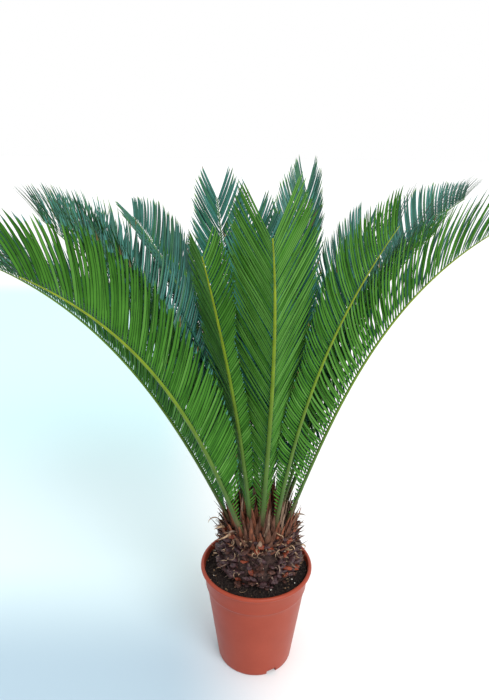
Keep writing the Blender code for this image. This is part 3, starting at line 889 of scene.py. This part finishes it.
frondForm = {
    "baseHeight": 0.240,
    "sunk": 0.022,  # stalk below that height, inside the trunk
    "stalkShare": 0.14,
    "fold": 45.0,  # rise of each row of leaflets over the frond's face
    "foldBow": 7.0,  # a leaflet leaves the rib steeper than that and flattens
    "sweepBow": 9.0,  # and leaves it more squarely, then bends forward
    "reach": 1.07,  # a bent leaflet is longer than its straight reach
    "spacing": 0.0042,
    "cover": 1.04,  # a leaflet's width over the free width between its neighbours
    "backCover": 1.30,
    "leafWidths": (0.0027, 0.0052),  # narrowest and widest leaflet
    "slender": ((0.12, 0.66), (0.36, 1.0)),  # low leaflets are narrower: share of the frond, of the width
    "tilts": (-8.0, -16.0),  # leaflets overlap like louvres, more so towards the tip
    "missing": 0.02,  # share of leaflets that have fallen out
    "brownEnds": 0.05,
    "prickles": 9,  # short leaflets on each side of the stalk
    "prickleWidth": 0.0024,
    "prickleStart": 0.03,
    "ribHalves": ((-0.06, 0.0070), (0.0, 0.0058), (0.05, 0.0041), (0.14, 0.0034), (0.5, 0.0025),
                  (0.8, 0.0016), (1.0, 0.0007)),  # share of the frond, half the rib's width
    "underTones": (0.5, 0.25, 0.25),  # shares of the middle, pale and deep tones among the undersides; a frond's own shares can add painted light with the pale tone and painted shade with the deep one
    # leaflet length along the blade, up to where each frond's own last share takes over
    "lengthProfile": ((0.0, 0.30), (0.05, 0.45), (0.15, 0.72), (0.30, 0.92), (0.50, 1.0), (0.70, 0.97)),
    "turnPlace": 0.85,  # where leaflets begin to shorten and lean towards the tip
    "trimFade": 0.3,
    "seed": 7,
}

# A leaflet's sections, in twentieths of its length, with the width there; the outline of each section,
# and the part of the leaflet that each step of the outline belongs to, whose margin steps carry painted
# shade
leafSections = ((0, 0.36), (1, 0.64), (3, 0.98), (7, 1.02), (11, 1.0), (15, 0.84), (18, 0.52))
leafCross = ((-0.50, -0.11), (-0.36, 0.00), (0.0, 0.04), (0.36, 0.00), (0.50, -0.11),
             (0.35, -0.09), (0.0, -0.06), (-0.35, -0.09))
leafParts = ("topEdgeShade", "top", "top", "topEdgeShade", "underEdgeShade", "under", "under", "underEdgeShade")


def ribLine(spec):
    # Points and directions along a frond's rib, at even shares of its length from inside the trunk
    shares = np.linspace(-frondForm["sunk"] / spec["length"], 1.0, 361)
    clamped = np.clip(shares, 0.0, 1.0)
    rise = np.radians(spec["rise"] + (spec["tip"] - spec["rise"]) * clamped ** spec["bend"])
    turn = np.radians(spec["azimuth"] + spec["sweep"] * clamped)
    along = np.stack([np.cos(rise) * np.cos(turn), np.cos(rise) * np.sin(turn), np.sin(rise)], axis=1)
    side = np.stack([-np.sin(turn), np.cos(turn), np.zeros_like(turn)], axis=1)
    up = np.stack([-np.sin(rise) * np.cos(turn), -np.sin(rise) * np.sin(turn), np.cos(rise)], axis=1)
    roll = np.radians(spec["roll"] * (0.3 + 0.7 * clamped))[:, None]
    rolledSide = side * np.cos(roll) + up * np.sin(roll)
    rolledUp = up * np.cos(roll) - side * np.sin(roll)
    steps = np.diff(shares)[:, None] * spec["length"] * 0.5 * (along[1:] + along[:-1])
    points = np.concatenate([np.zeros((1, 3)), np.cumsum(steps, axis=0)])
    azimuth, out = math.radians(spec["azimuth"]), spec["foot"]
    foot = np.array([out * math.cos(azimuth), out * math.sin(azimuth), frondForm["baseHeight"]])
    return shares, points - readAlong(shares, points, 0.0) + foot, along, rolledSide, rolledUp


def readAlong(shares, values, at):
    return np.stack([np.interp(at, shares, values[:, axis]) for axis in range(3)], axis=-1)


def readLine(line, at):
    return [readAlong(line[0], values, at) for values in line[1:]]


def ribHalf(at):
    return np.interp(at, *zip(*frondForm["ribHalves"]))


def leafReach(spec, share, hand):
    # Length and spread of the leaflets at these shares of one row
    full = frondForm["lengthProfile"]
    turn = spec["last"] + 0.65 * (full[-1][1] - spec["last"])
    place = frondForm["turnPlace"]
    shares, lengths = zip(*full, (place, turn), (1.0, spec["last"]))
    footAngle, tipAngle = spec["spread"]
    angles = (footAngle, footAngle - 8.0, tipAngle + 8.0, tipAngle)
    spread = np.interp(share, (0.0, 0.5, place, 1.0), angles)
    right, left, end = spec.get("trim", (1.0, 1.0, 1.0))
    shorter = np.interp(share, (end - frondForm["trimFade"], end), (right if hand > 0 else left, 1.0))
    return spec["leaf"] * shorter * np.interp(share, shares, lengths), np.radians(spread)


def leafletPoints(start, along, side, up, hand, length, spread, fold, width, tilt, sweepBow, foldBow):
    # Points of every leaflet of one row at once: (leaflet, point, xyz)
    steps = 20
    middles = (np.arange(steps) + 0.5) / steps
    grid = np.arange(steps + 1) / steps

    def direction(share):
        angle = (spread[:, None] + sweepBow[:, None] * (1.0 - 2.0 * share))[..., None]
        lift = (fold[:, None] + foldBow * (1.0 - 2.0 * share))[..., None]
        outward = np.cos(lift) * side[:, None] * hand + np.sin(lift) * up[:, None]
        ahead = np.cos(angle) * along[:, None] + np.sin(angle) * outward
        across = hand * (-np.sin(angle) * along[:, None] + np.cos(angle) * outward)
        return ahead, across

    ahead, _ = direction(middles[None])
    path = np.cumsum(ahead * (length / steps)[:, None, None], axis=1)
    path = np.concatenate([np.zeros((len(start), 1, 3)), path], axis=1) + start[:, None]
    ahead, across = direction(grid[None])
    over = np.cross(ahead, across)
    turned = (tilt * hand)[:, None, None]
    wide = across * np.cos(turned) + over * np.sin(turned)
    tall = over * np.cos(turned) - across * np.sin(turned)
    rows = []
    for index, share in leafSections:
        for offset, lift in leafCross:
            size = (width * share)[:, None]
            rows.append(path[:, index] + wide[:, index] * offset * size + tall[:, index] * lift * size)
    rows.append(path[:, steps])
    return np.stack(rows, axis=1)


def leafletFaces():
    # Faces of one leaflet, and the part of it that each belongs to
    faces, parts = [], []
    around = len(leafCross)
    for section in range(len(leafSections) - 1):
        for step in range(around):
            after = (step + 1) % around
            low = section * around
            faces.append((low + step, low + around + step, low + around + after, low + after))
            parts.append(leafParts[step])
    low = (len(leafSections) - 1) * around
    tip = len(leafSections) * around
    for step in range(around):
        faces.append((low + step, tip, low + (step + 1) % around))
        parts.append("end")
    return faces, parts


# Leaf colours: darker and lighter tone of each, roughness and shine. Two edge tones come first: painted
# shade on the leaflets' margins, dark lines that stand in for the shadows between neighbouring leaflets.
leafColours = {
    "leafTopEdgeShade": ((0.006, 0.034, 0.029), (0.012, 0.054, 0.046), 0.45, 0.2),
    "leafUnderEdgeShade": ((0.006, 0.030, 0.005), (0.012, 0.050, 0.009), 0.60, 0.08),
    # the teal of the top tones is partly the leaflets' own colour and partly painted reflection: the
    # sheen's bluish tint sits in the colour, and the shine is kept low
    "leafTopTeal": ((0.032, 0.155, 0.124), (0.058, 0.230, 0.188), 0.36, 0.30),
    "leafTopDeep": ((0.018, 0.100, 0.068), (0.034, 0.152, 0.106), 0.36, 0.28),
    "leafTopFresh": ((0.028, 0.132, 0.060), (0.048, 0.192, 0.090), 0.38, 0.25),
    "leafUnderMid": ((0.039, 0.150, 0.012), (0.058, 0.200, 0.020), 0.55, 0.10),
    "leafUnderPale": ((0.060, 0.192, 0.023), (0.090, 0.252, 0.037), 0.52, 0.12),
    "leafUnderDeep": ((0.024, 0.106, 0.007), (0.038, 0.150, 0.013), 0.58, 0.08),
    "leafTipBrown": ((0.070, 0.050, 0.016), (0.16, 0.11, 0.035), 0.60, 0.2),
}


ribForm = {
    "heights": (0.23, 0.63),  # the colours below run from the first to the second
    "brown": (0.13, 0.075, 0.045),
    "olive": (0.12, 0.11, 0.055),
    "stalkGreen": (0.062, 0.130, 0.030),
    "ribGreen": (0.092, 0.178, 0.022),
    "sides": {  # its upper part and tip, first underneath and then on top
        "ribUnder": ((0.155, 0.250, 0.012), (0.215, 0.290, 0.012)),
        "ribTop": ((0.085, 0.205, 0.050), (0.105, 0.240, 0.085)),
    },
    "around": 12,
    "depths": (0.88, 0.50),  # of the underside and of the top, over half the width
}


def leafMaterials():
    return [speckledMaterial(name, dark, light, 55.0, roughness, 0.2, 0.0003, (1.0, 1.0, 0.5), shine)
            for name, (dark, light, roughness, shine) in leafColours.items()]


def ribMaterial(name, high, tip):
    material, nodes, links, shader = newMaterial(name, tip, 0.42, 0.15)
    height = addSpread(nodes, links, addPlace(nodes, links)["Z"], ribForm["heights"])
    colours = addRamp(nodes, links, height, [
        (0.0, ribForm["brown"]), (0.07, ribForm["olive"]), (0.16, ribForm["stalkGreen"]),
        (0.42, ribForm["ribGreen"]), (0.72, high), (1.0, tip)])
    mottle = addRamp(nodes, links, addNoise(nodes, links, 90.0, 4.0, (1.0, 1.0, 0.3)),
                     [(0.3, (0.72, 0.74, 0.70)), (0.7, (1.08, 1.05, 1.05))])
    links.new(addBlend(nodes, links, 1.0, colours, mottle, "MULTIPLY"), shader.inputs["Base Color"])
    addBump(nodes, links, shader, addNoise(nodes, links, 500.0, 2.0, (1.0, 1.0, 0.2)), 0.2, 0.0003)
    return material


def makeRib(name, line, materials, nodeNames):
    at = np.concatenate([np.linspace(line[0][0], 0.14, 18)[:-1], np.linspace(0.14, 1.0, 50)])
    points, _, side, up = readLine(line, at)
    half = ribHalf(at)
    around = ribForm["around"]
    rows = []
    for index in range(len(at)):
        for step in range(around):
            angle = 2.0 * math.pi * step / around
            tall = math.sin(angle) * ribForm["depths"][math.sin(angle) >= 0.0]
            rows.append(points[index] + half[index] * (side[index] * math.cos(angle) + up[index] * tall))
    faces = [tuple(reversed(face)) for face in ringFaces(len(at), around)]
    sides = [0 if step >= around // 2 else 1 for _ in range(len(at) - 1) for step in range(around)]
    obj = makeMesh(name, rows, faces, materials, sides + [0, 0])
    mesh = bmesh.new()
    mesh.from_mesh(obj.data)
    bmesh.ops.recalc_face_normals(mesh, faces=mesh.faces)
    mesh.to_mesh(obj.data)
    mesh.free()
    placePiece(obj, "frond_green", *nodeNames)


def leafletRow(spec, line, hand, rng):
    # One side of a frond: the short prickles on the stalk come first, then the blade's own leaflets
    stalkEnd = spec.get("stalk", frondForm["stalkShare"])
    spacing = spec.get("spacing", frondForm["spacing"])
    count = round(spec["length"] * (1.0 - stalkEnd) / spacing)
    prickles = frondForm["prickles"]
    stalk = (np.arange(prickles) + rng.random() * 0.4 + 0.3) / prickles
    shares = (np.arange(count) + 0.25 + 0.25 * hand + rng.uniform(-0.16, 0.16, count)) / count
    shares = np.clip(shares, 0.0, 1.0)
    shares = shares[rng.random(count) > frondForm["missing"]]
    length, spread = leafReach(spec, shares, hand)
    first = frondForm["prickleStart"]
    at = np.concatenate([first + (stalkEnd - first) * stalk, stalkEnd + (1.0 - stalkEnd) * shares])
    longest = 0.62 * (spec["leaf"] * 0.30)
    length = np.concatenate([0.0025 + (longest - 0.0025) * stalk ** 2.0, length])
    spread = np.concatenate([np.full(prickles, spread[0] + math.radians(6.0)), spread])
    total = len(at)
    length = length * spec.get("reach", frondForm["reach"]) * rng.uniform(0.94, 1.05, total)
    spread = spread + np.radians(rng.normal(0.0, 0.8, total))
    fold = np.radians(frondForm["fold"] + rng.normal(0.0, 1.5, total))
    tilt = np.radians(np.interp(at, (0.14, 1.0), frondForm["tilts"]) + rng.normal(0.0, 4.0, total))
    bow = np.radians(frondForm["sweepBow"] + rng.normal(0.0, 2.0, total))
    behind = math.sin(math.radians(spec["azimuth"])) > 0.15
    cover = spec.get("cover", frondForm["backCover" if behind else "cover"])
    width = np.clip(spacing * np.sin(spread) * cover, *frondForm["leafWidths"])
    width = width * np.interp(at, *zip(*frondForm["slender"]))
    width[:prickles] = frondForm["prickleWidth"]
    start, along, side, up = readLine(line, at)
    half = ribHalf(at)[:, None]
    start = start + side * hand * half * 0.72 + up * half * 0.22
    return leafletPoints(start, along, side, up, hand, length, spread, fold, width, tilt, bow,
                         math.radians(frondForm["foldBow"]))


def makeLeaflets(name, spec, line, materials, rng):
    template, parts = leafletFaces()
    tones = spec.get("underTones", frondForm["underTones"])
    margin = [step in (0, 4) for _ in leafSections for step in range(len(leafCross))] + [True]
    leaflets = newBunch()
    for hand in (1.0, -1.0):
        for points in leafletRow(spec, line, hand, rng):
            top = 2 + int(rng.choice(3, p=(0.5, 0.3, 0.2)))
            under = 5 + int(rng.choice(3, p=tones))
            brown = rng.random() < frondForm["brownEnds"]
            end = 8 if brown else (under if rng.random() < 0.5 else top)
            # the margin faces take the two painted shade tones, the rest the leaflet's own colours
            dealt = {"topEdgeShade": 0, "underEdgeShade": 1, "top": top, "under": under, "end": end}
            addShape(leaflets, (points, template, margin), [dealt[part] for part in parts])
    placePiece(bunchPiece(name, leaflets, materials), "frond_green")


def makeFronds():
    materials = leafMaterials()
    ribMaterials = [ribMaterial(name, *colours) for name, colours in ribForm["sides"].items()]
    for number, spec in fronds.items():
        rng = np.random.default_rng(frondForm["seed"] * 100 + int(number))
        line = ribLine(spec)
        own = sorted(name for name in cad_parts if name.startswith(f"frond_{number}"))
        makeRib(f"frond{number}Rib", line, ribMaterials, own)
        makeLeaflets(f"frond{number}Leaflets", spec, line, materials, rng)


makeFronds()
print("fronds made")
